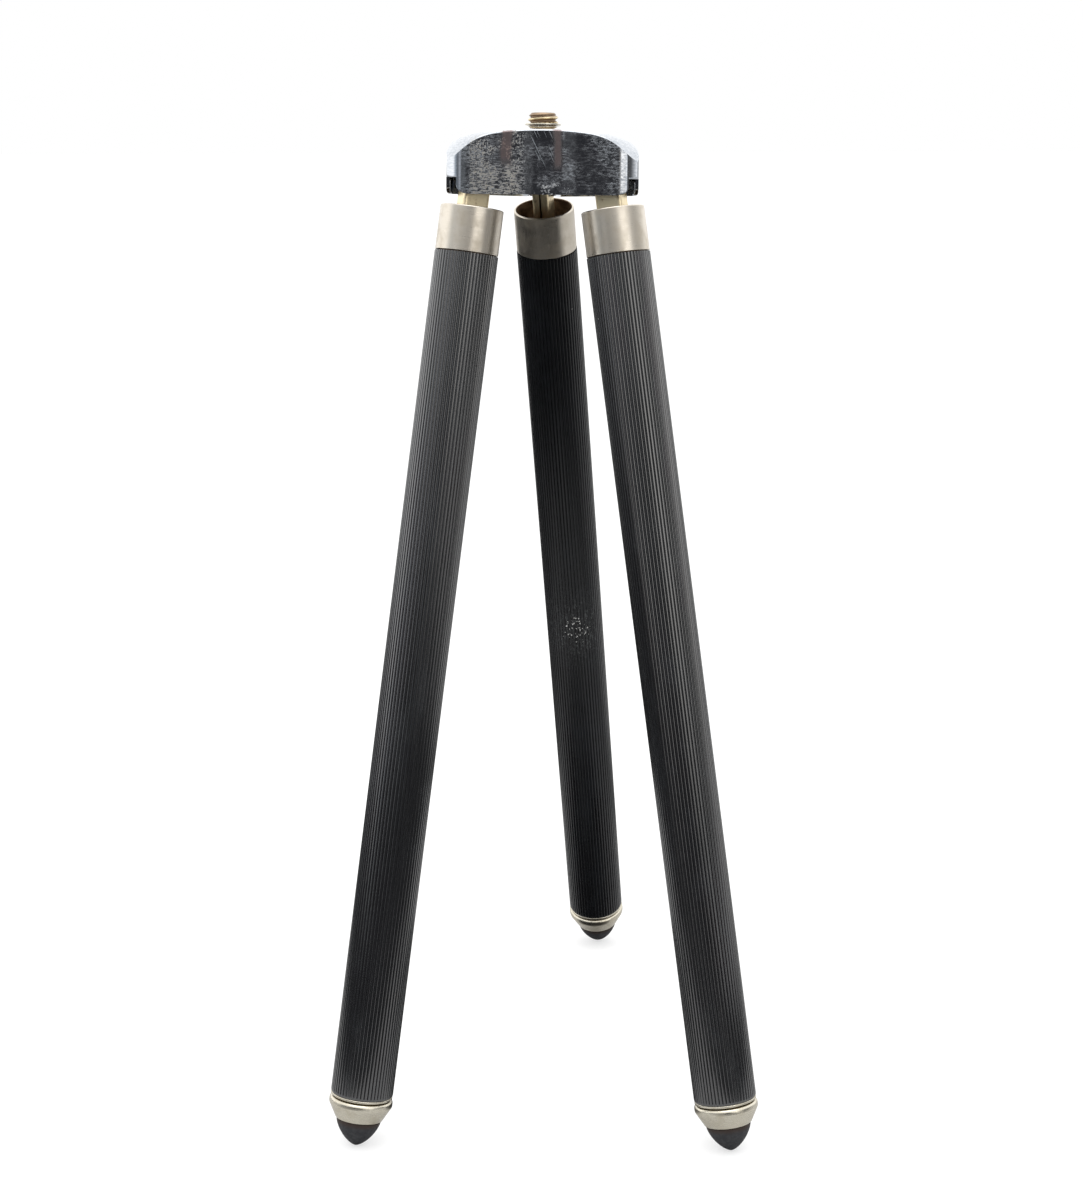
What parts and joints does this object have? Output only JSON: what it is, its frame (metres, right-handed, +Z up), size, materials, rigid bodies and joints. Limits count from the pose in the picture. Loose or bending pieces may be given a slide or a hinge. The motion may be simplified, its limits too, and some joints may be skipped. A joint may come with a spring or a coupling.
{
  "type": "telescoping camera tripod",
  "caption": "Folding metal camera tripod: a domed three-cornered head on hinged ribbed tube legs that telescope out from rubber-tipped feet.",
  "frame": {"origin": "centre of the box around the closed tripod, on the floor under its feet", "axes": "+Z up, +Y to the back, towards the widest-open leg; the flat front side of the head faces -Y"},
  "size_m": [0.1374, 0.1868, 0.3223],
  "materials": {
    "chrome": "mirror plate, pitted and scuffed",
    "nickel": "satin nickel plate, warm",
    "black_lacquer": "semi-gloss black over fine ribs, chipped",
    "brass": "pale sheet and tube brass",
    "worn_brass": "nickel worn through to brass",
    "steel": "plain pressed steel",
    "spring_steel": "blued spring steel",
    "rubber": "matt black rubber"
  },
  "bodies": {
    "head": {"head_cap": "chrome", "camera_screw": "worn_brass", "cap_spacer": "steel", "hinge_bracket": "steel", "screw_washer": "steel", "screw_nut": "steel", "left_hinge_pin": "steel", "right_hinge_pin": "steel", "rear_hinge_pin": "steel"},
    "left_leg": {"left_tongue": "brass", "left_tongue_rivet": "steel", "left_collar": "nickel", "left_plug": "brass", "left_ribbed_tube": "black_lacquer", "left_rim_ring": "nickel"},
    "left_second_section": {"left_second_tube": "brass"},
    "left_second_spring": {"left_second_catch": "spring_steel"},
    "left_third_section": {"left_third_tube": "brass"},
    "left_third_spring": {"left_third_catch": "spring_steel"},
    "left_fourth_section": {"left_fourth_tube": "brass", "left_foot_ferrule": "nickel", "left_rubber_foot": "rubber"},
    "left_fourth_spring": {"left_fourth_catch": "spring_steel"},
    "right_leg": {"right_tongue": "brass", "right_tongue_rivet": "steel", "right_collar": "nickel", "right_plug": "brass", "right_ribbed_tube": "black_lacquer", "right_rim_ring": "nickel"},
    "right_second_section": {"right_second_tube": "brass"},
    "right_second_spring": {"right_second_catch": "spring_steel"},
    "right_third_section": {"right_third_tube": "brass"},
    "right_third_spring": {"right_third_catch": "spring_steel"},
    "right_fourth_section": {"right_fourth_tube": "brass", "right_foot_ferrule": "nickel", "right_rubber_foot": "rubber"},
    "right_fourth_spring": {"right_fourth_catch": "spring_steel"},
    "rear_leg": {"rear_tongue": "brass", "rear_tongue_rivet": "steel", "rear_collar": "nickel", "rear_plug": "brass", "rear_ribbed_tube": "black_lacquer", "rear_rim_ring": "nickel"},
    "rear_second_section": {"rear_second_tube": "brass"},
    "rear_second_spring": {"rear_second_catch": "spring_steel"},
    "rear_third_section": {"rear_third_tube": "brass"},
    "rear_third_spring": {"rear_third_catch": "spring_steel"},
    "rear_fourth_section": {"rear_fourth_tube": "brass", "rear_foot_ferrule": "nickel", "rear_rubber_foot": "rubber"},
    "rear_fourth_spring": {"rear_fourth_catch": "spring_steel"}
  },
  "joints": [
    {"name": "left_leg_fold", "type": "hinge", "parent": "head", "child": "left_leg", "pos_m": [-0.02036, -0.02901, 0.30079], "axis": [-0.5006, 0.8615, -0.0845], "range_deg": [-7.7, 14]},
    {"name": "left_second_slide", "type": "slide", "parent": "left_leg", "child": "left_second_section", "axis": [-0.13, -0.1713, -0.9766], "range_m": [0, 0.238]},
    {"name": "left_second_catch_press", "type": "slide", "parent": "left_second_section", "child": "left_second_spring", "axis": [0.8559, 0.4779, -0.1978], "range_m": [0, 0.0009], "stiffness_N_per_m": 400},
    {"name": "left_third_slide", "type": "slide", "parent": "left_second_section", "child": "left_third_section", "axis": [-0.13, -0.1713, -0.9766], "range_m": [0, 0.208]},
    {"name": "left_third_catch_press", "type": "slide", "parent": "left_third_section", "child": "left_third_spring", "axis": [0.8559, 0.4779, -0.1978], "range_m": [0, 0.0009], "stiffness_N_per_m": 400},
    {"name": "left_fourth_slide", "type": "slide", "parent": "left_third_section", "child": "left_fourth_section", "axis": [-0.13, -0.1713, -0.9766], "range_m": [0, 0.178]},
    {"name": "left_fourth_catch_press", "type": "slide", "parent": "left_fourth_section", "child": "left_fourth_spring", "axis": [0.8559, 0.4779, -0.1978], "range_m": [0, 0.0009], "stiffness_N_per_m": 400},
    {"name": "right_leg_fold", "type": "hinge", "parent": "head", "child": "right_leg", "pos_m": [0.02155, -0.02905, 0.3002], "axis": [-0.4993, -0.8608, 0.0987], "range_deg": [-9.3, 12.4]},
    {"name": "right_second_slide", "type": "slide", "parent": "right_leg", "child": "right_second_section", "axis": [0.126, -0.1848, -0.9747], "range_m": [0, 0.238]},
    {"name": "right_second_catch_press", "type": "slide", "parent": "right_second_section", "child": "right_second_spring", "axis": [-0.8572, 0.4742, -0.2007], "range_m": [0, 0.0009], "stiffness_N_per_m": 400},
    {"name": "right_third_slide", "type": "slide", "parent": "right_second_section", "child": "right_third_section", "axis": [0.126, -0.1848, -0.9747], "range_m": [0, 0.208]},
    {"name": "right_third_catch_press", "type": "slide", "parent": "right_third_section", "child": "right_third_spring", "axis": [-0.8572, 0.4742, -0.2007], "range_m": [0, 0.0009], "stiffness_N_per_m": 400},
    {"name": "right_fourth_slide", "type": "slide", "parent": "right_third_section", "child": "right_fourth_section", "axis": [0.126, -0.1848, -0.9747], "range_m": [0, 0.178]},
    {"name": "right_fourth_catch_press", "type": "slide", "parent": "right_fourth_section", "child": "right_fourth_spring", "axis": [-0.8572, 0.4742, -0.2007], "range_m": [0, 0.0009], "stiffness_N_per_m": 400},
    {"name": "rear_leg_fold", "type": "hinge", "parent": "head", "child": "rear_leg", "pos_m": [0.00056, 0.00707, 0.29666], "axis": [0.9752, -0.221, 0.0096], "range_deg": [-21.7, 0]},
    {"name": "rear_second_slide", "type": "slide", "parent": "rear_leg", "child": "rear_second_section", "axis": [0.0685, 0.2602, -0.9631], "range_m": [0, 0.238]},
    {"name": "rear_second_catch_press", "type": "slide", "parent": "rear_second_section", "child": "rear_second_spring", "axis": [-0.2104, -0.9399, -0.2689], "range_m": [0, 0.0009], "stiffness_N_per_m": 400},
    {"name": "rear_third_slide", "type": "slide", "parent": "rear_second_section", "child": "rear_third_section", "axis": [0.0685, 0.2602, -0.9631], "range_m": [0, 0.208]},
    {"name": "rear_third_catch_press", "type": "slide", "parent": "rear_third_section", "child": "rear_third_spring", "axis": [-0.2104, -0.9399, -0.2689], "range_m": [0, 0.0009], "stiffness_N_per_m": 400},
    {"name": "rear_fourth_slide", "type": "slide", "parent": "rear_third_section", "child": "rear_fourth_section", "axis": [0.0685, 0.2602, -0.9631], "range_m": [0, 0.178]},
    {"name": "rear_fourth_catch_press", "type": "slide", "parent": "rear_fourth_section", "child": "rear_fourth_spring", "axis": [-0.2104, -0.9399, -0.2689], "range_m": [0, 0.0009], "stiffness_N_per_m": 400}
  ]
}
